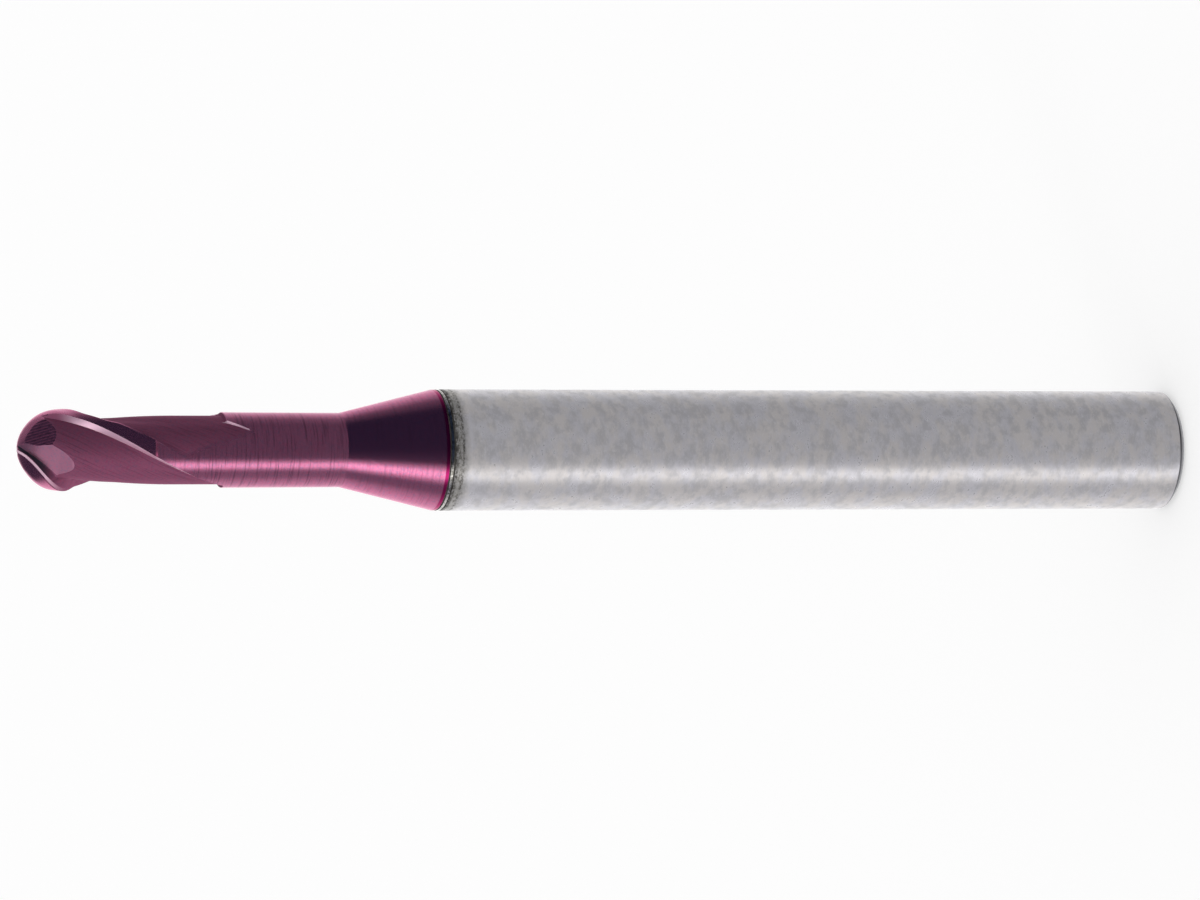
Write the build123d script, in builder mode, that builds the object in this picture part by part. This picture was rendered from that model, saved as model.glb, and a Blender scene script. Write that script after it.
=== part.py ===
import os
from math import cos, radians, sin, sqrt

from build123d import *

# Two-flute ball-nose end mill, millimetres. The shank end stands on Z = 0 and the tool axis is +Z.
# Places along the tool are given as reach, the distance back from the tip of the ball.
overall_length = 60.0
head_reach = 21.0          # from the tip to the joint face
shank_diameter = 6.0
shank_chamfer = 0.3
braze_film = 0.07
shim_thickness = 0.14

ball_radius = 2.0
land_end_reach = 6.4       # the cutting diameter runs this far back
land_step = 0.15           # length of the slope from the cutting diameter to the neck
neck_front_radius = 1.87
neck_rear_radius = 1.83
neck_end_reach = 16.15
cone_end_radius = shank_diameter / 2

helix_rate = 16.54         # degrees of twist for each millimetre of reach: 30 degrees on the cutting diameter
edge_start_angle = -150.0  # where the straight-helix edge would meet the tip, about Z
nose_twist = 52.0          # how far the edge curls forward at the tip, as an S seen from the end
nose_reach = 3.4           # the curl has died out here
nose_fade = 1.25

rake_root_radius, rake_root_angle = 1.45, 6.0      # angles run from the cutting edge, across the flute
gullet_radius, gullet_angle = 1.41, 14.0
floor_radius, floor_angle = 1.53, 46.0
back_radius, back_angle = 1.68, 97.0
heel_root_angle, heel_angle = 150.0, 157.0
clear_radius = 3.4         # cutters reach out to here
rake_lead_angle = -6.0     # the rake line carried out to the clear radius

run_out_reach = 8.1        # the cutting edge fades into the neck here
run_out_turn = 25.9        # degrees per millimetre by which the fade moves across the flute
run_out_slope = 0.00345    # millimetres of floor rise per degree
flute_end_reach = 11.7
heel_end_reach = 10.15

facet_depth = 0.356        # flat ground into the ball behind each tooth, below the sphere
facet_direction = (0.310, -0.871, 0.372)
facet_radius = 1.3

# End gash, which opens the flute to the centre of the ball: its valley as (reach, x, y), and the way its far
# wall leaves the valley
gash_valley = [
    (-0.3, 0.10, -0.06), (0.2, -0.05, -0.46), (0.72, -0.40, -0.70), (1.31, -0.78, -0.77), (1.9, -1.30, -0.70)
]
gash_wall_lean = -37.5     # degrees from +X, seen from the tip
gash_size = 2.6

teeth = (0, 180)


def place(radius, angle):
    return (radius * cos(radians(angle)), radius * sin(radians(angle)))


def edge_angle(reach):
    curl = max(0.0, 1 - max(reach, 0.0) / nose_reach)
    return edge_start_angle - helix_rate * reach + nose_twist * curl**nose_fade


def ball_section_radius(reach):
    depth = ball_radius - min(max(reach, 0.1), ball_radius)
    return sqrt(ball_radius**2 - depth**2)


def floor(radius, angle, reach):
    fade_angle = run_out_turn * (reach - run_out_reach)
    ramp = neck_front_radius - run_out_slope * (angle - fade_angle)
    return max(radius, ramp)


# Flute cutter: rake face, gullet and the floor that rises to the tooth back, twisted along the tool
flute_stations = [-0.4, 0.2, 0.8, 1.4, 2.0, 2.6, 3.6, 4.6, 5.6, 6.6, 7.6, 8.6, 9.6, 10.6, flute_end_reach]
with BuildPart() as flute_cutter:
    for reach in flute_stations:
        turn = edge_angle(reach)
        rake_root = place(floor(rake_root_radius, rake_root_angle, reach), turn + rake_root_angle)
        gullet = place(floor(gullet_radius, gullet_angle, reach), turn + gullet_angle)
        rise = place(floor(floor_radius, floor_angle, reach), turn + floor_angle)
        back = place(floor(back_radius, back_angle, reach), turn + back_angle)
        with BuildSketch(Plane.XY.offset(overall_length - reach)):
            with BuildLine():
                Line(place(clear_radius, turn + rake_lead_angle), rake_root)
                Spline(rake_root, gullet, rise, back)
                Line(back, place(clear_radius, turn + back_angle))
                ThreePointArc(
                    place(clear_radius, turn + back_angle),
                    place(clear_radius, turn + back_angle / 2),
                    place(clear_radius, turn + rake_lead_angle),
                )
            make_face()
    loft()

# Heel cutter: the cleared tooth back behind the land, down to a short step
heel_stations = [-0.4, 0.2, 0.8, 1.4, 2.0, 2.6, 3.6, 4.6, 5.6, 6.6, 7.6, 8.6, heel_end_reach]
with BuildPart() as heel_cutter:
    for reach in heel_stations:
        start = edge_angle(reach) + back_angle - 8
        root = edge_angle(reach) + heel_root_angle
        top = edge_angle(reach) + heel_angle
        middle = (start + root) / 2
        with BuildSketch(Plane.XY.offset(overall_length - reach)):
            with BuildLine():
                ThreePointArc(place(back_radius, start), place(back_radius, middle), place(back_radius, root))
                Polyline(place(back_radius, root), place(ball_radius, top), place(clear_radius, top + 8))
                ThreePointArc(
                    place(clear_radius, top + 8), place(clear_radius, middle), place(clear_radius, start)
                )
                Line(place(clear_radius, start), place(back_radius, start))
            make_face()
    loft()

# Gash cutter: a vee that follows the curled edge over the ball
with BuildPart() as gash_cutter:
    for reach, x, y in gash_valley:
        valley = Vector(x, y)
        edge = Vector(*place(ball_section_radius(reach), edge_angle(reach)))
        rake_end = valley + (edge - valley).normalized() * gash_size
        wall_end = valley + Vector(*place(gash_size, gash_wall_lean))
        with BuildSketch(Plane.XY.offset(overall_length - reach)):
            with BuildLine():
                Polyline(valley, wall_end, rake_end, close=True)
            make_face()
    loft()

# Carbide head: ball, lands, relieved neck and the cone up to the shank diameter
with BuildPart() as cutting_head:
    with BuildSketch(Plane.XZ):
        with BuildLine():
            tip = (0, overall_length)
            ball_side = (ball_radius, overall_length - ball_radius)
            ball_middle = (ball_radius * sin(radians(45)), overall_length - ball_radius * (1 - cos(radians(45))))
            ThreePointArc(tip, ball_middle, ball_side)
            Polyline(
                ball_side,
                (ball_radius, overall_length - land_end_reach),
                (neck_front_radius, overall_length - land_end_reach - land_step),
                (neck_rear_radius, overall_length - neck_end_reach),
                (cone_end_radius, overall_length - head_reach),
                (0, overall_length - head_reach),
                tip,
            )
        make_face()
    revolve(axis=Axis.Z)
    for turn in teeth:
        add(flute_cutter.part, rotation=(0, 0, turn), mode=Mode.SUBTRACT)
        add(heel_cutter.part, rotation=(0, 0, turn), mode=Mode.SUBTRACT)
        add(gash_cutter.part, rotation=(0, 0, turn), mode=Mode.SUBTRACT)
        facing = Vector(*facet_direction).rotate(Axis.Z, turn).normalized()
        ball_centre = Vector(0, 0, overall_length - ball_radius)
        with BuildSketch(Plane(origin=ball_centre + facing * (ball_radius - facet_depth), z_dir=facing)):
            Circle(facet_radius)
        extrude(amount=facet_radius, mode=Mode.SUBTRACT)
cutting_head.part.label = "cutting_head"

# Braze foil: two silver films with a soft copper core between them
joint_top = overall_length - head_reach
foil_thickness = {
    "front_braze_layer": braze_film, "copper_shim": shim_thickness, "rear_braze_layer": braze_film
}
foil = []
foil_top = joint_top
for name, thickness in foil_thickness.items():
    foil_top -= thickness
    with BuildPart() as layer:
        with BuildSketch(Plane.XY.offset(foil_top)):
            Circle(shank_diameter / 2)
        extrude(amount=thickness)
    layer.part.label = name
    foil.append(layer)

# Steel shank with its rear chamfer
with BuildPart() as shank:
    with BuildSketch(Plane.XY):
        Circle(shank_diameter / 2)
    extrude(amount=foil_top)
    chamfer(shank.faces().sort_by(Axis.Z)[0].edges(), shank_chamfer)
shank.part.label = "shank"

os.makedirs("parts", exist_ok=True)
for piece in (cutting_head, *foil, shank):
    export_step(piece.part, f"parts/{piece.part.label}.step")
    print(piece.part.label, round(piece.part.volume, 2), "mm3")
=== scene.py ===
from math import atan2, cos, degrees, pi, radians, sin, sqrt

import bmesh
import bpy
from mathutils import Matrix, Vector


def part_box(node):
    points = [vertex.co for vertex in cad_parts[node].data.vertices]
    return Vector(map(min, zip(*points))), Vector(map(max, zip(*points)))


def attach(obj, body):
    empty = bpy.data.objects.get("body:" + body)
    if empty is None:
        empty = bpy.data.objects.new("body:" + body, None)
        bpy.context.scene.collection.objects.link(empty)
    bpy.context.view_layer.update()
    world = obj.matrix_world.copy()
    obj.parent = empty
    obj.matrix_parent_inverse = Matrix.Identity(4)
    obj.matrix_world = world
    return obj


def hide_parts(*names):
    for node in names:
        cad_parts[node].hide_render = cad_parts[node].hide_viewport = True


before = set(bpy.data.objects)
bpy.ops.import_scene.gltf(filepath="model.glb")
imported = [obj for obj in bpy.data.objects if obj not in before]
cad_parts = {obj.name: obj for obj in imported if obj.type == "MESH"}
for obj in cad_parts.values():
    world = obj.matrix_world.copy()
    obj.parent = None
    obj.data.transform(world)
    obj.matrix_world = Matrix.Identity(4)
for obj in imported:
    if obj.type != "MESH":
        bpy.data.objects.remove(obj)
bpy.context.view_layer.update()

mm = 0.001
headLow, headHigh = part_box("cutting_head")
tipHeight = headHigh.z
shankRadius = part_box("shank")[1].x
jointReach = (tipHeight - headLow.z) / mm
print("frame loaded, tip at", round(tipHeight, 4), "joint reach", round(jointReach, 2))


class Wire:
    # one output socket that takes part in ordinary arithmetic
    def __init__(self, graph, socket):
        self.graph, self.socket = graph, socket

    def math(self, operation, *others):
        values = {0: self}
        values.update({i + 1: other for i, other in enumerate(others)})
        return self.graph.node("ShaderNodeMath", {"operation": operation}, values)

    def __add__(self, other):
        return self.math("ADD", other)

    __radd__ = __add__

    def __mul__(self, other):
        return self.math("MULTIPLY", other)

    __rmul__ = __mul__

    def __sub__(self, other):
        return self.math("SUBTRACT", other)

    def __rsub__(self, other):
        return self.graph.node("ShaderNodeMath", {"operation": "SUBTRACT"}, {0: other, 1: self})

    def __truediv__(self, other):
        return self.math("DIVIDE", other)

    def __pow__(self, other):
        return self.math("POWER", other)

    def step(self, low, high):  # smooth 0 to 1 between low and high, which may be given in falling order
        values = {"Value": self, "From Min": low, "From Max": high}
        return self.graph.node("ShaderNodeMapRange", {"interpolation_type": "SMOOTHSTEP"}, values)

    def band(self, low, high, soft):  # 1 between low and high
        return self.step(low - soft, low + soft) * self.step(high + soft, high - soft)


class Graph:
    def __init__(self, tree):
        self.tree = tree
        tree.nodes.clear()

    def node(self, kind, settings=None, sockets=None, output=0):
        made = self.tree.nodes.new(kind)
        for name, value in (settings or {}).items():
            if name == "stops":
                fillRamp(made.color_ramp, value)
            else:
                setattr(made, name, value)
        for name, value in (sockets or {}).items():
            if isinstance(value, Wire):
                self.tree.links.new(value.socket, made.inputs[name])
            else:
                made.inputs[name].default_value = value
        return Wire(self, made.outputs[output] if len(made.outputs) else None)

    def place(self):  # the shaded point, in mm
        spot = self.node("ShaderNodeTexCoord", output="Object")
        apart = {"Vector": spot}
        x = self.node("ShaderNodeSeparateXYZ", None, apart, "X") / mm
        y = self.node("ShaderNodeSeparateXYZ", None, apart, "Y") / mm
        z = self.node("ShaderNodeSeparateXYZ", None, apart, "Z") / mm
        return x, y, z

    def vector(self, x, y, z):
        return self.node("ShaderNodeCombineXYZ", None, {"X": x, "Y": y, "Z": z})

    def noise(self, vector, scale, detail=2.0, rough=0.5):
        values = {"Vector": vector, "Scale": scale, "Detail": detail, "Roughness": rough}
        return self.node("ShaderNodeTexNoise", None, values, "Fac")

    def blend(self, factor, first, second):
        # a Mix node has one set of sockets for each kind of data: these are the ones for colours
        return self.node("ShaderNodeMix", {"data_type": "RGBA"}, {0: factor, 6: first, 7: second}, 2)

    def bump(self, height, strength, distance):
        values = {"Height": height, "Strength": strength, "Distance": distance * mm}
        return self.node("ShaderNodeBump", None, values)

    def surface(self, sockets):
        shader = self.node("ShaderNodeBsdfPrincipled", None, sockets)
        self.node("ShaderNodeOutputMaterial", None, {"Surface": shader})


def fillRamp(ramp, stops):
    while len(ramp.elements) > 1:
        ramp.elements.remove(ramp.elements[-1])
    ramp.elements[0].position, ramp.elements[0].color = stops[0][0], stops[0][1]
    for position, colour in stops[1:]:
        ramp.elements.new(position).color = colour


def newMaterial(name):
    material = bpy.data.materials.new(name)
    material.use_nodes = True
    return material, Graph(material.node_tree)


def grey(level):
    return (level, level, level, 1)


helixRate = 16.54  # degrees of twist for each millimetre

# lengths in mm, reaches measured back from the tip, angles in degrees back from a cutting edge
head = {
    "ball": 2.0, "landEnd": 6.4,
    "neckFront": 6.55, "neckFrontRadius": 1.87, "neckRear": 16.15, "neckRearRadius": 1.83,
    "rimReach": 20.87, "rimRadius": 2.985,
    # cutting edge: where it starts, and how it curls over the ball to the centre
    "edgeStart": -150.0, "curl": 51.0, "curlReach": 3.0, "curlFade": 1.1,
    "overshoot": 5.5, "overshootRise": (2.2, 3.2), "overshootFall": (4.9, 3.9),
    # heel, which hangs back where the edge curls
    "heelLag": 5.2, "heelLagReach": 3.4, "heelLagFade": 1.25, "heelLagMost": 38.0,
    # section of one flute, from the rake face round to the wall under the heel
    "rakeRoot": 6.0, "rakeRootRadius": 1.45, "gullet": 14.0, "gulletRadius": 1.41,
    "back": 97.0, "backRadius": 1.68, "crest": 2.0, "stepRoot": 152.3, "heel": 157.0,
    # relief of the land, slight along the flutes and deeper on the ball
    "land": 23.0, "relief": 0.03, "reliefFade": (6.4, 5.8),
    "ballRelief": 0.20, "ballReliefTurn": (30, 105), "ballReliefFade": (3.2, 1.4), "ballReliefRadius": 1.3,
    # run-out of the flute on the neck
    "fadeReach": 8.1, "fadeTurn": 25.9, "fadeSlope": 0.00345,
    "fluteStart": 1.1, "heelEnd": 10.05, "heelClosed": 10.19, "fluteEnd": 11.75,
}

coating = {
    "colour": (0.56, 0.180, 0.310, 1),
    "cool": (0.36, 0.185, 0.330, 1),  # flecks where the film is thinner
    "warm": (0.62, 0.110, 0.250, 1),
    "shade": (0.055, 0.085, 0.110, 1),  # painted shade: bluish dark for the rake face deep in the gash
    "grooveAndShade": (0.13, 0.045, 0.090, 1),  # dark tone for the bottoms of the turning and grinding marks, also laid evenly as painted shade where a finish is dimmed
    "paintedHighlight": (0.95, 0.64, 0.78, 1),  # painted highlight: pale colour along the cutting edges and heel walls, and a little over the gash walls
    "crimson": (0.36, 0.015, 0.12, 1),  # heat tint next to the joint
    "rim": (1.0, 0.78, 0.86, 1),
    "fleckScale": 8.5,
}

# pairs are the reach or distance in mm where an effect starts and where it is full
# painted highlight along each cutting edge: the band behind the edge, and the reach over which it fades
edgeHighlightBand = {"edge": (0.15, 0.10), "edgeFade": (2.6, 0.8)}
# in each finish, dim is painted shade that darkens the whole finish evenly
headFinishes = {
    "coatedGroundLand": {
        "metallic": 0.96, "roughness": 0.26, "depth": 0.0006, "fleck": 0.35, **edgeHighlightBand,
    },
    "coatedFlute": {
        "metallic": 0.86, "roughness": 0.74, "lines": "helical", "depth": 0.0036, "fleck": 0.6,
        "dim": 0.30, "streak": 0.35, **edgeHighlightBand,
    },
    "coatedNeck": {
        "metallic": 0.79, "roughness": 0.18, "lines": "turned", "depth": 0.0036, "fleck": 0.6,
        "dim": 0.15, "streak": 0.60, "hollowAs": "coatedFlute",
    },
    "coatedCone": {
        "metallic": 0.98, "roughness": 0.20, "lines": "turned", "depth": 0.0012, "fleck": 0.6,
        "streak": 0.25, "heatTint": 0.16,
    },
    # the gash walls are lightened a little toward the painted highlight colour
    "coatedGash": {"metallic": 0.88, "roughness": 0.42, "depth": 0.0010, "fleck": 0.7, "paintedHighlight": 0.2},
    "coatedFacet": {
        "metallic": 0.97, "roughness": 0.22, "lines": "axial", "depth": 0.0030, "fleck": 0.4,
        "dim": 0.15, "streak": 0.7,
    },
    # the rake face is dimmed and gets painted shade that is full near the tip
    "coatedRake": {
        "metallic": 0.84, "roughness": 0.62, "depth": 0.0010, "fleck": 0.5,
        "dim": 0.30, "shade": (1.75, 0.9),
    },
    # the heel wall carries a painted highlight, starting at 1.7 mm reach and full from 2.7 mm
    "coatedHeel": {
        "metallic": 0.60, "roughness": 0.34, "lines": "helical", "depth": 0.0010, "fleck": 0.2,
        "paintedHighlight": 0.85, "paintedHighlightFrom": (1.7, 2.7),
    },
}
finishNumber = {name: number for number, name in enumerate(headFinishes)}
hollowDepth, hollowFade = (0.004, 0.05), (12.0, 11.0)  # where the neck shows the bottom of a flute


def toolMarks(graph, kind, x, y, z):
    if kind == "turned":
        way = graph.vector(x * 0.5, y * 0.5, z * 13)
    elif kind == "helical":
        wound = y.math("ARCTAN2", x) + z * -radians(helixRate)
        way = graph.vector(wound.math("COSINE") * 20, wound.math("SINE") * 20, z * 0.6)
    elif kind == "axial":
        way = graph.vector(x * 9, y * 9, z * 0.6)
    else:
        way = graph.vector(x * 5, y * 5, z * 5)
    return graph.noise(way, 1.0, 3.0, 0.65)


def neckDepth(reach, radius):  # how far a point lies below the turned neck
    front, rear = head["neckFront"], head["neckRear"]
    slope = (head["neckRearRadius"] - head["neckFrontRadius"]) / (rear - front)
    return (reach - front) * slope + head["neckFrontRadius"] - radius


def edgeDistance(reach, radius, x, y):  # round the tool, from the cutting edge back over its land
    curl = (reach * (-1 / head["curlReach"]) + 1).math("MAXIMUM", 0.0) ** head["curlFade"]
    edge = reach * -helixRate + curl * head["curl"] + head["edgeStart"]
    behind = (edge * radians(1) - y.math("ARCTAN2", x)) * (1 / pi)
    return behind.math("FRACT") * pi * radius


def makeCoating(name):
    look = headFinishes[name]
    material, graph = newMaterial(name)
    x, y, z = graph.place()
    reach = tipHeight / mm - z
    radius = (x * x + y * y) ** 0.5
    fleck = graph.noise(graph.vector(x, y, z), coating["fleckScale"], 3.0, 0.65)
    other = graph.noise(graph.vector(x + 7, y, z), coating["fleckScale"], 3.0, 0.65)
    marks = toolMarks(graph, look.get("lines"), x, y, z)
    paintedHighlight = look.get("paintedHighlight", 0.0)
    shown = {value: look.get(value, 0.0) for value in ("roughness", "metallic", "dim", "streak")}
    if "hollowAs" in look:
        below = headFinishes[look["hollowAs"]]
        hollow = neckDepth(reach, radius).step(*hollowDepth) * reach.step(*hollowFade)
        marks = hollow * (toolMarks(graph, below["lines"], x, y, z) - marks) + marks
        shown = {value: hollow * (below[value] - level) + level for value, level in shown.items()}
    film = graph.blend(fleck.step(0.46, 0.66) * look["fleck"], coating["colour"], coating["cool"])
    film = graph.blend(other.step(0.52, 0.70) * look["fleck"], film, coating["warm"])
    # painted shade: the whole finish is darkened evenly toward the dark groove tone by its dim amount
    film = graph.blend(shown["dim"], film, coating["grooveAndShade"])
    film = graph.blend(marks.step(0.48, 0.70) * shown["streak"], film, coating["grooveAndShade"])
    # painted highlight: the finish is lightened toward the pale highlight colour, on the heel walls only
    # from a given reach
    if "paintedHighlightFrom" in look:
        paintedHighlight = reach.step(*look["paintedHighlightFrom"]) * paintedHighlight
    film = graph.blend(paintedHighlight, film, coating["paintedHighlight"])
    # painted shade on the rake face: blended toward the bluish dark, full up to 0.9 mm reach and gone by
    # 1.75 mm
    if "shade" in look:
        film = graph.blend(reach.step(*look["shade"]) * 0.85, film, coating["shade"])
    # painted highlight along the cutting edge: a pale band just behind it, made less metallic and rougher,
    # fading away from the tip
    if "edge" in look:
        edgeHighlight = edgeDistance(reach, radius, x, y).step(*look["edge"]) * reach.step(*look["edgeFade"])
        film = graph.blend(edgeHighlight, film, coating["paintedHighlight"])
        shown["metallic"] = edgeHighlight * -0.7 + shown["metallic"]
        shown["roughness"] = edgeHighlight * 0.15 + shown["roughness"]
    if "heatTint" in look:
        start = jointReach - look["heatTint"]
        film = graph.blend(reach.step(start - 0.02, start), film, coating["crimson"])
    graph.surface({
        "Base Color": film,
        "Metallic": shown["metallic"],
        "Roughness": (fleck - 0.5) * 0.12 + (marks - 0.5) * 0.10 + shown["roughness"],
        "Specular Tint": coating["rim"],
        "Normal": graph.bump(marks + fleck * 0.3, 1.0, look["depth"]),
    })
    return material


steel = {
    "cool": (0.62, 0.605, 0.64, 1),
    "warm": (0.66, 0.625, 0.615, 1),
    "dull": (0.46, 0.45, 0.465, 1),
    "fleck": (0.80, 0.79, 0.82, 1),
    "paintedDarkChamfer": (0.10, 0.10, 0.11, 1),  # painted dark reflection on the bright-turned chamfer at the rear
    "soot": (0.035, 0.030, 0.025, 1),
    "olive": (0.22, 0.21, 0.18, 1),
    "metallic": 0.42,
    "roughness": 0.31,
    "sootNear": 0.14, "sootFar": (0.34, 0.46), "hazeEnd": 0.85,  # mm back from the joint face
}


def makeSteel(name):
    material, graph = newMaterial(name)
    x, y, z = graph.place()
    around = graph.vector(x * 0.6, y * 0.6, z)
    patches = graph.noise(around, 1.1, 3.0, 0.6)
    mottle = graph.noise(graph.vector(x * 0.8, y * 0.8, z * 1.1), 1.9, 4.0, 0.6)
    flecks = graph.noise(graph.vector(x, y, z * 2.2), 5.5, 2.0, 0.6)
    lines = graph.noise(graph.vector(x * 0.5, y * 0.5, z * 14), 1.0, 3.0, 0.6)
    metal = graph.blend(patches.step(0.38, 0.62), steel["cool"], steel["warm"])
    metal = graph.blend(mottle.step(0.42, 0.66) * 0.65, metal, steel["dull"])
    metal = graph.blend(flecks.step(0.54, 0.72) * 0.30, metal, steel["fleck"])
    # painted dark reflection: the rear chamfer is coloured near black and made fully metallic
    paintedDarkChamfer = z.step(0.34, 0.30)
    metal = graph.blend(paintedDarkChamfer, metal, steel["paintedDarkChamfer"])
    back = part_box("shank")[1].z / mm - z
    speckle = graph.noise(graph.vector(x, y, z * 1.6), 5.5, 3.0, 0.75)
    near, (low, high), end = steel["sootNear"], steel["sootFar"], steel["hazeEnd"]
    haze = back.step(end, 0.3) * (speckle.step(0.30, 0.62) * 0.45 + 0.55)
    metal = graph.blend(haze * 0.8, metal, steel["olive"])
    rings = back.step(near + 0.05, near - 0.05) * speckle.step(0.28, 0.60)
    rings = rings.math("MAXIMUM", back.band(low, high, 0.05) * speckle.step(0.36, 0.66))
    rings = rings.math("MAXIMUM", back.step(end, 0.1) * speckle.step(0.48, 0.68) * 0.8)
    metal = graph.blend(rings * 0.9, metal, steel["soot"])
    graph.surface({
        "Base Color": metal,
        "Metallic": paintedDarkChamfer * (1 - steel["metallic"]) + steel["metallic"],
        "Roughness": steel["roughness"] + (mottle - 0.5) * 0.22 + (patches - 0.5) * 0.1 + rings * 0.2,
        "Normal": graph.bump(lines * 0.6 + mottle * 0.8 + flecks * 0.1, 1.0, 0.0022),
    })
    return material


def makeJointMetal(name, colour, roughness, metallic, dirt):
    material, graph = newMaterial(name)
    x, y, z = graph.place()
    speckle = graph.noise(graph.vector(x, y, z), 6.0, 3.0, 0.7)
    grime = graph.noise(graph.vector(x + 3, y, z), 1.2, 2.0, 0.5)
    shade = graph.blend(speckle.step(0.45, 0.60) * dirt, colour, steel["soot"])
    shade = graph.blend(grime.step(0.35, 0.6) * dirt * 0.7, shade, steel["olive"])
    graph.surface({
        "Base Color": shade,
        "Metallic": metallic,
        "Roughness": roughness + (speckle - 0.5) * 0.2,
        "Normal": graph.bump(speckle, 1.0, 0.002),
    })
    return material


def spread(first, last, count):  # count steps from first, leaving last out
    return [first + (last - first) * i / count for i in range(count)]


def blendValue(low, high, value):  # smooth 0 to 1 between low and high, which may be in falling order
    t = min(1.0, max(0.0, (value - low) / (high - low)))
    return t * t * (3 - 2 * t)


def finishMesh(bm, name, materials, sharpAngle):
    bmesh.ops.recalc_face_normals(bm, faces=bm.faces)
    mesh = bpy.data.meshes.new(name)
    bm.to_mesh(mesh)
    bm.free()
    for material in materials:
        mesh.materials.append(material)
    piece = bpy.data.objects.new(name, mesh)
    bpy.context.scene.collection.objects.link(piece)
    mesh.shade_smooth()
    mesh.set_sharp_from_angle(angle=radians(sharpAngle))
    return piece


def turned(name, outline, materials, segments=160, sharpAngle=28):
    # a full spin of (radius, height) points in mm about the tool axis
    bm = bmesh.new()
    previous = None
    for radius, height in outline:
        vert = bm.verts.new((radius * mm, 0, height * mm))
        if previous:
            bm.edges.new((previous, vert))
        previous = vert
    bmesh.ops.spin(
        bm, geom=bm.verts[:] + bm.edges[:], cent=(0, 0, 0), axis=(0, 0, 1), dvec=(0, 0, 0),
        angle=2 * pi, steps=segments, use_merge=True, use_duplicate=False,
    )
    bmesh.ops.remove_doubles(bm, verts=bm.verts, dist=1e-7)
    return finishMesh(bm, name, materials, sharpAngle)


def blankRadius(reach):
    if reach < head["ball"]:
        return sqrt(max(0.0, head["ball"]**2 - (head["ball"] - reach)**2))
    if reach < head["landEnd"]:
        return head["ball"]
    if reach < head["neckFront"]:
        t = (reach - head["landEnd"]) / (head["neckFront"] - head["landEnd"])
        return head["ball"] + (head["neckFrontRadius"] - head["ball"]) * t
    if reach < head["neckRear"]:
        t = (reach - head["neckFront"]) / (head["neckRear"] - head["neckFront"])
        return head["neckFrontRadius"] + (head["neckRearRadius"] - head["neckFrontRadius"]) * t
    t = min(1.0, (reach - head["neckRear"]) / (head["rimReach"] - head["neckRear"]))
    return head["neckRearRadius"] + (head["rimRadius"] - head["neckRearRadius"]) * t


def curlAt(reach):
    curl = head["curl"] * max(0.0, 1 - max(0.0, reach) / head["curlReach"])**head["curlFade"]
    over = blendValue(*head["overshootRise"], reach) * blendValue(*head["overshootFall"], reach)
    return curl - head["overshoot"] * over


def edgeAngle(reach):  # degrees about the tool axis
    return head["edgeStart"] - helixRate * reach + curlAt(reach)


def heelLag(reach):  # the heel hangs back where the edge curls over the ball
    extra = head["heelLag"] * max(0.0, 1 - reach / head["heelLagReach"])**head["heelLagFade"]
    return min(head["heelLagMost"], curlAt(reach) + extra)


def fluteFloor(angle, reach):
    if angle < head["gullet"]:
        t = (head["gullet"] - angle) / (head["gullet"] - head["rakeRoot"])
        radius = head["gulletRadius"] + (head["rakeRootRadius"] - head["gulletRadius"]) * t * t
    else:
        t = min(1.0, (angle - head["gullet"]) / (head["back"] - head["gullet"]))
        radius = head["gulletRadius"] + (head["backRadius"] - head["gulletRadius"]) * sin(pi / 2 * t)**1.4
    fade = head["fadeTurn"] * (reach - head["fadeReach"])
    return max(radius, head["neckFrontRadius"] - head["fadeSlope"] * (angle - fade))


def landRadius(angle, reach):  # outside of a tooth, relieved behind its edge
    outer = blankRadius(reach)
    behind = 180 - angle
    relief = head["relief"] * blendValue(0, head["land"], behind) * blendValue(*head["reliefFade"], reach)
    onBall = blendValue(*head["ballReliefFade"], reach)
    relief += head["ballRelief"] * blendValue(*head["ballReliefTurn"], behind) * onBall
    return outer - relief * min(1.0, outer / head["ballReliefRadius"])


def toothRadius(angle, reach):  # angle runs 0 to 180 from one cutting edge to the next
    outer = landRadius(angle, reach)
    stepRoot = head["stepRoot"] - heelLag(reach)
    heel = head["heel"] - heelLag(reach)
    if reach > head["fluteEnd"]:
        return outer
    if angle < head["rakeRoot"]:
        root = min(outer, fluteFloor(head["rakeRoot"], reach))
        return outer + (root - outer) * angle / head["rakeRoot"]
    if angle <= head["back"]:
        return min(outer, fluteFloor(angle, reach))
    closed = blendValue(head["heelEnd"], head["heelClosed"], reach)
    opened = min(outer, head["backRadius"])
    if angle > heel:
        return outer
    if angle > stepRoot:
        opened = opened + (outer - opened) * (angle - stepRoot) / (heel - stepRoot)
    return opened + (outer - opened) * closed


def headColumns(reach):  # angles across one tooth, moved so that its corners keep to the same columns
    stepRoot, heel = head["stepRoot"] - heelLag(reach), head["heel"] - heelLag(reach)
    back, crestEnd = head["back"], head["back"] + head["crest"]
    return (
        spread(0, head["rakeRoot"], 5) + spread(head["rakeRoot"], 30, 9) + spread(30, back, 16)
        + [back] + spread(crestEnd, stepRoot, 14) + spread(stepRoot, heel, 4) + spread(heel, 180, 10)
    )


def finishAt(middle):  # which of the head's finishes the blank shows at this point
    reach = (tipHeight - middle.z) / mm
    if reach > head["neckRear"]:
        return "coatedCone"
    angle = (degrees(atan2(middle.y, middle.x)) - edgeAngle(reach)) % 180
    sunk = middle.xy.length / mm < landRadius(angle, reach) - 0.02
    if sunk and head["fluteStart"] < reach < head["fluteEnd"]:
        onWall = head["stepRoot"] + 0.2 < angle + heelLag(reach) < head["heel"]
        onCrest = head["back"] < angle < head["back"] + head["crest"]
        if (onWall and reach < head["heelEnd"]) or (onCrest and reach > head["heelEnd"] - 0.1):
            return "coatedHeel"
        return "coatedNeck" if reach > head["neckFront"] else "coatedFlute"
    return "coatedNeck" if reach > head["landEnd"] else "coatedGroundLand"


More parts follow.
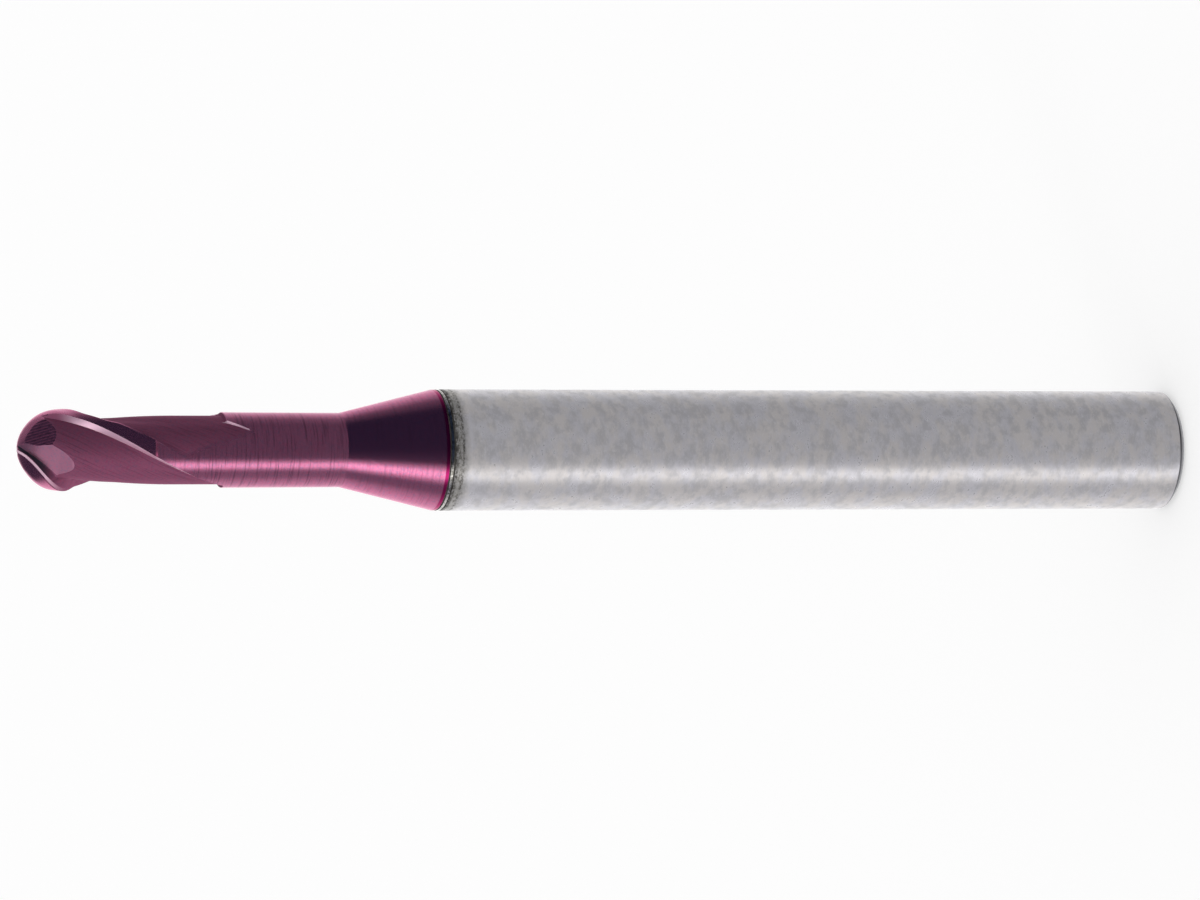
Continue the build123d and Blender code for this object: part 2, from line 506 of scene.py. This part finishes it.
def headRows():
    rows = [head["ball"] * (1 - cos(radians(2 + 88 * i / 40))) for i in range(41)]
    rows += spread(2.06, head["landEnd"], 64)
    rows += spread(head["landEnd"], head["neckFront"], 3)
    rows += spread(head["neckFront"], head["heelEnd"], 52)
    rows += spread(head["heelEnd"], head["heelClosed"], 5)
    rows += spread(head["heelClosed"], head["fluteEnd"], 26)
    rows += spread(head["fluteEnd"], head["neckRear"], 20)
    rows += spread(head["neckRear"], head["rimReach"], 24)
    return rows + [head["rimReach"], jointReach]


def growRings(bm, ring, edges, sections, settle):
    # carries a ring of vertices along the tool, one row of faces for each section
    settle(ring, sections[0])
    for section in sections[1:]:
        grown = bmesh.ops.extrude_edge_only(bm, edges=edges)["geom"]
        ring = [g for g in grown if isinstance(g, bmesh.types.BMVert)]
        fresh = set(ring)
        edges = [g for g in grown if isinstance(g, bmesh.types.BMEdge) and fresh.issuperset(g.verts)]
        settle(ring, section)
    return edges


def buildHeadBlank(materials):
    count = 2 * len(headColumns(0))
    bm = bmesh.new()
    column = bm.verts.layers.int.new("column")
    made = bmesh.ops.create_circle(bm, cap_ends=True, cap_tris=True, segments=count, radius=mm)
    centre = min(made["verts"], key=lambda v: v.co.length)
    centre.co.z = tipHeight
    ring = [v for v in made["verts"] if v is not centre]
    ring.sort(key=lambda v: atan2(v.co.y, v.co.x) % (2 * pi))
    for index, vert in enumerate(ring):
        vert[column] = index

    def settle(verts, reach):
        angles = headColumns(reach)
        for vert in verts:
            tooth, slot = divmod(vert[column], count // 2)
            radius = toothRadius(angles[slot], reach) * mm
            turn = radians(edgeAngle(reach) + angles[slot] + 180 * tooth)
            vert.co = (radius * cos(turn), radius * sin(turn), tipHeight - reach * mm)

    edges = [e for e in bm.edges if centre not in e.verts]
    last = growRings(bm, ring, edges, headRows(), settle)
    bmesh.ops.contextual_create(bm, geom=last)
    for face in bm.faces:
        face.material_index = finishNumber[finishAt(face.calc_center_median())]
    return finishMesh(bm, "cuttingHead", materials, 25)


gash = {
    # valley of the end gash as (reach, x, y) in mm, and which way its wall leans
    "valley": [
        (-0.3, 0.45, 0.60, -60), (0.0, 0.17, 0.0, -50), (0.25, -0.07, -0.48, -30),
        (0.72, -0.42, -0.69, -35), (1.31, -0.86, -0.71, -37.5), (1.9, -1.36, -0.65, -37.5),
        (2.4, -1.70, -0.66, -37.5), (2.9, -2.02, -0.69, -37.5),
    ],
    "size": 2.6, "round": 0.07, "arcSteps": 4, "rows": 8,
}

facet = {
    "facing": (0.40, -0.73, 0.56), "depth": 0.373, "half": 1.15,
    "pitch": 0.150, "scallop": 0.012, "columns": 180,  # wheel marks
}


def smoothPoint(points, position):  # Catmull-Rom through given points
    index = min(int(position), len(points) - 2)
    t = position - index
    before, start = Vector(points[max(index - 1, 0)]), Vector(points[index])
    end, after = Vector(points[index + 1]), Vector(points[min(index + 2, len(points) - 1)])
    return 0.5 * (
        2 * start + (end - before) * t + (2 * before - 5 * start + 4 * end - after) * t * t
        + (3 * start - before - 3 * end + after) * t**3
    )


def along(degrees):
    return Vector((cos(radians(degrees)), sin(radians(degrees))))


def gashSection(position):
    reach, x, y, lean = smoothPoint(gash["valley"], position)
    valley = Vector((x, y))
    edge = blankRadius(max(reach, 0.1)) * along(edgeAngle(reach))
    rake = edge - valley
    sweep = (lean - degrees(atan2(rake.y, rake.x))) % 360
    fan = [valley + gash["size"] * along(lean - sweep * part) for part in (0, 0.33, 0.66, 1)]
    tight = min(gash["round"], rake.length * 0.4)
    start, stop = valley + rake.normalized() * tight, valley + along(lean) * tight
    parts = [i / gash["arcSteps"] for i in range(gash["arcSteps"] + 1)]
    valleyArc = [start * (1 - t)**2 + valley * (2 * t * (1 - t)) + stop * t * t for t in parts]
    return [Vector((p.x * mm, p.y * mm, tipHeight - reach * mm)) for p in valleyArc + fan]


def buildGashCutter(materials, turn):
    bm = bmesh.new()
    corner = bm.verts.layers.int.new("corner")
    made = bmesh.ops.create_circle(bm, cap_ends=True, segments=len(gashSection(0)), radius=mm)
    for index, vert in enumerate(made["verts"]):
        vert[corner] = index

    def settle(verts, position):
        corners = gashSection(position)
        for vert in verts:
            vert.co = corners[vert[corner]]

    sections = [i / gash["rows"] for i in range(gash["rows"] * (len(gash["valley"]) - 1) + 1)]
    last = growRings(bm, made["verts"], bm.edges[:], sections, settle)
    bmesh.ops.contextual_create(bm, geom=last)
    rakeCorners = {*range(gash["arcSteps"] + 1), len(made["verts"]) - 1}
    for face in bm.faces:
        onRake = rakeCorners.issuperset(v[corner] for v in face.verts)
        face.material_index = finishNumber["coatedRake" if onRake else "coatedGash"]
    bmesh.ops.rotate(bm, verts=bm.verts, cent=(0, 0, 0), matrix=Matrix.Rotation(radians(turn), 3, "Z"))
    return finishMesh(bm, "gashCutter", materials, 30)


def buildFacetCutter(materials, turn):
    # a block whose cutting face is scalloped along the tool, as a coarse wheel leaves it
    facing = Vector(facet["facing"]).normalized()
    across = Vector((0, 0, 1)).cross(facing).normalized()
    upward = facing.cross(across)
    centre = Vector((0, 0, tipHeight - head["ball"] * mm))
    place = Matrix((across, upward, facing)).transposed().to_4x4()
    place.translation = centre + facing * (head["ball"] - facet["depth"]) * mm
    bm = bmesh.new()
    half = facet["half"] * mm
    bmesh.ops.create_grid(bm, x_segments=facet["columns"], y_segments=4, size=half)
    for vert in bm.verts:
        wave = abs(sin(pi * vert.co.x / mm / facet["pitch"]))
        vert.co.z = facet["scallop"] * (0.5 - wave) * mm
    grown = bmesh.ops.extrude_face_region(bm, geom=bm.faces[:], use_keep_orig=True)["geom"]
    lifted = [g for g in grown if isinstance(g, bmesh.types.BMVert)]
    bmesh.ops.translate(bm, verts=lifted, vec=(0, 0, half))
    for face in bm.faces:
        face.material_index = finishNumber["coatedFacet"]
    spin = Matrix.Rotation(radians(turn), 4, "Z")
    bmesh.ops.transform(bm, matrix=spin @ place, verts=bm.verts)
    return finishMesh(bm, "facetCutter", materials, 30)


def cutAway(piece, cutters):
    for cutter in cutters:
        modifier = piece.modifiers.new("cut", "BOOLEAN")
        modifier.object, modifier.operation, modifier.solver = cutter, "DIFFERENCE", "EXACT"
        modifier.material_mode = "INDEX"
    bpy.context.view_layer.update()
    shaped = bpy.data.meshes.new_from_object(piece.evaluated_get(bpy.context.evaluated_depsgraph_get()))
    piece.modifiers.clear()
    piece.data = shaped
    for cutter in cutters:
        bpy.data.objects.remove(cutter)
    shaped.shade_smooth()
    shaped.set_sharp_from_angle(angle=radians(22))


headMaterials = [makeCoating(name) for name in headFinishes]
cuttingHead = buildHeadBlank(headMaterials)
print("head blank has", len(cuttingHead.data.polygons), "faces")
cutAway(cuttingHead, [
    build(headMaterials, turn) for turn in (0, 180) for build in (buildGashCutter, buildFacetCutter)
])
print("head after gashing has", len(cuttingHead.data.polygons), "faces")
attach(cuttingHead, "root")
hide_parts("cutting_head")


joint = {
    "braze": (0.10, 0.09, 0.085, 1), "shim": (0.72, 0.69, 0.66, 1),
    "round": 0.02, "sink": 0.035,  # rim rounding, and how far the braze lies below the shank's surface
}


def disc(low, high, radius, roundness):  # outline of a disc with a rounded rim
    turns = [pi / 2 * i / 5 for i in range(6)]
    corner = [(radius - roundness * (1 - sin(t)), low + roundness * (1 - cos(t))) for t in turns]
    upper = [(r, low + high - z) for r, z in reversed(corner)]
    return [(0, low)] + corner + upper + [(0, high)]


def buildLayer(node, name, sink, material):
    low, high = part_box(node)
    radius = high.x / mm - sink
    outline = disc(low.z / mm, high.z / mm, radius, joint["round"])
    piece = turned(name, outline, [material])
    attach(piece, "root")
    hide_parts(node)
    return piece


brazeLook = makeJointMetal("brazeFilm", joint["braze"], 0.55, 0.7, 0.7)
shimLook = makeJointMetal("shimRim", joint["shim"], 0.16, 1.0, 0.75)
buildLayer("front_braze_layer", "frontBrazeLayer", joint["sink"], brazeLook)
buildLayer("copper_shim", "copperShim", 0.0, shimLook)
buildLayer("rear_braze_layer", "rearBrazeLayer", joint["sink"], brazeLook)

shankShape = {"chamfer": 0.3, "edge": 0.02, "rings": 60}


def buildShank():
    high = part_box("shank")[1].z / mm
    radius = shankRadius / mm
    chamfer, edge, rings = shankShape["chamfer"], shankShape["edge"], shankShape["rings"]
    side = [(radius, chamfer + (high - chamfer) * i / rings) for i in range(1, rings)]
    outline = [(0, 0), (radius - chamfer - edge, 0), (radius - chamfer, 0.006)]
    outline += [(radius - edge, chamfer - 0.025), (radius, chamfer + 0.03)] + side
    outline += [(radius, high - edge), (radius - 0.012, high), (0, high)]
    piece = turned("steelShank", outline, [makeSteel("groundSteel")])
    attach(piece, "root")
    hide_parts("shank")
    return piece


buildShank()
print("joint and shank built")


studio = {
    # brightness round the tool near the horizon, by the angle from the camera's side
    "round": [
        (-180, (1.50, 1.50, 1.50)), (-130, (1.05, 1.05, 1.06)), (-106, (0.66, 0.66, 0.68)),
        (-90, (0.28, 0.29, 0.32)), (-70, (0.20, 0.21, 0.25)), (-60, (0.8, 0.8, 0.82)),
        (-54, (2.0, 2.0, 2.0)), (-44, (2.1, 2.1, 2.1)), (-37, (0.8, 0.8, 0.82)), (-27, (0.06, 0.07, 0.10)),
        (0, (0.024, 0.034, 0.062)), (84, (0.024, 0.034, 0.062)), (110, (0.20, 0.21, 0.23)),
        (136, (0.85, 0.85, 0.86)), (180, (1.50, 1.50, 1.50)),
    ],
    # brightness overhead, from the camera's side at the left to the far side at the right
    "above": [
        (0.0, (0.05, 0.06, 0.09)), (0.3, (0.07, 0.08, 0.11)), (0.5, (0.14, 0.15, 0.17)),
        (0.75, (0.36, 0.36, 0.38)),
    ],
    "rise": (0.33, 0.60), "farLift": 0.35,  # height where the overhead light takes over
    "peak": 2.5, "even": 0.85,  # strongest light, and the even light that matt surfaces take
    "floorHalf": 3.0, "floorColour": 0.5, "floorGlow": 0.56,
    "lens": 198, "sensor": 36, "tilt": 18.02, "cameraPlace": (0, -0.3125, 0.1320),
}


def buildWorld():
    world = bpy.data.worlds.new("studio")
    bpy.context.scene.world = world
    world.use_nodes = True
    graph = Graph(world.node_tree)
    way = graph.node("ShaderNodeTexCoord", output="Generated")
    x = graph.node("ShaderNodeSeparateXYZ", None, {"Vector": way}, "X")
    y = graph.node("ShaderNodeSeparateXYZ", None, {"Vector": way}, "Y")
    z = graph.node("ShaderNodeSeparateXYZ", None, {"Vector": way}, "Z")
    turn = x.math("ARCTAN2", y * -1) / (2 * pi) + 0.5
    peak, even = studio["peak"], studio["even"]
    stops = [((a + 180) / 360, (*(c / peak for c in colour), 1)) for a, colour in studio["round"]]
    low = graph.node("ShaderNodeValToRGB", {"stops": stops}, {"Fac": turn}, "Color")
    stops = [(a, (*(c / peak for c in colour), 1)) for a, colour in studio["above"]]
    high = graph.node("ShaderNodeValToRGB", {"stops": stops}, {"Fac": (x + y) * 0.6}, "Color")
    rise = z + y * studio["farLift"]
    light = graph.blend(rise.step(*studio["rise"]), low, high)
    matt = graph.node("ShaderNodeLightPath", output="Is Diffuse Ray")
    light = graph.blend(matt, light, grey(even / peak))
    lit = graph.node("ShaderNodeBackground", None, {"Color": light, "Strength": peak})
    plain = graph.node("ShaderNodeBackground", None, {"Color": grey(1.0), "Strength": 1.0})
    seen = graph.node("ShaderNodeLightPath", output="Is Camera Ray")
    both = graph.node("ShaderNodeMixShader", None, {0: seen, 1: lit, 2: plain})
    graph.node("ShaderNodeOutputWorld", None, {"Surface": both})


def buildFloor():
    bm = bmesh.new()
    bmesh.ops.create_grid(bm, x_segments=1, y_segments=1, size=studio["floorHalf"])
    material, graph = newMaterial("paleFloor")
    graph.surface({
        "Base Color": grey(studio["floorColour"]), "Roughness": 0.9, "Specular IOR Level": 0.0,
        "Emission Color": grey(1.0), "Emission Strength": studio["floorGlow"],
    })
    floor = finishMesh(bm, "floor", [material], 30)
    floor.visible_glossy = floor.visible_diffuse = floor.visible_shadow = False


def buildCamera():
    camera = bpy.data.objects.new("camera", bpy.data.cameras.new("camera"))
    bpy.context.scene.collection.objects.link(camera)
    camera.data.sensor_width, camera.data.lens = studio["sensor"], studio["lens"]
    tilt = radians(studio["tilt"])
    forward = Vector((0, cos(tilt), -sin(tilt)))
    up = Vector((1, 0, 0))
    right = forward.cross(up)
    place = Matrix((right, up, -forward)).transposed().to_4x4()
    place.translation = studio["cameraPlace"]
    camera.matrix_world = place
    bpy.context.scene.camera = camera


buildWorld()
buildFloor()
buildCamera()
bpy.context.scene.view_settings.view_transform = "Standard"
print("studio built")
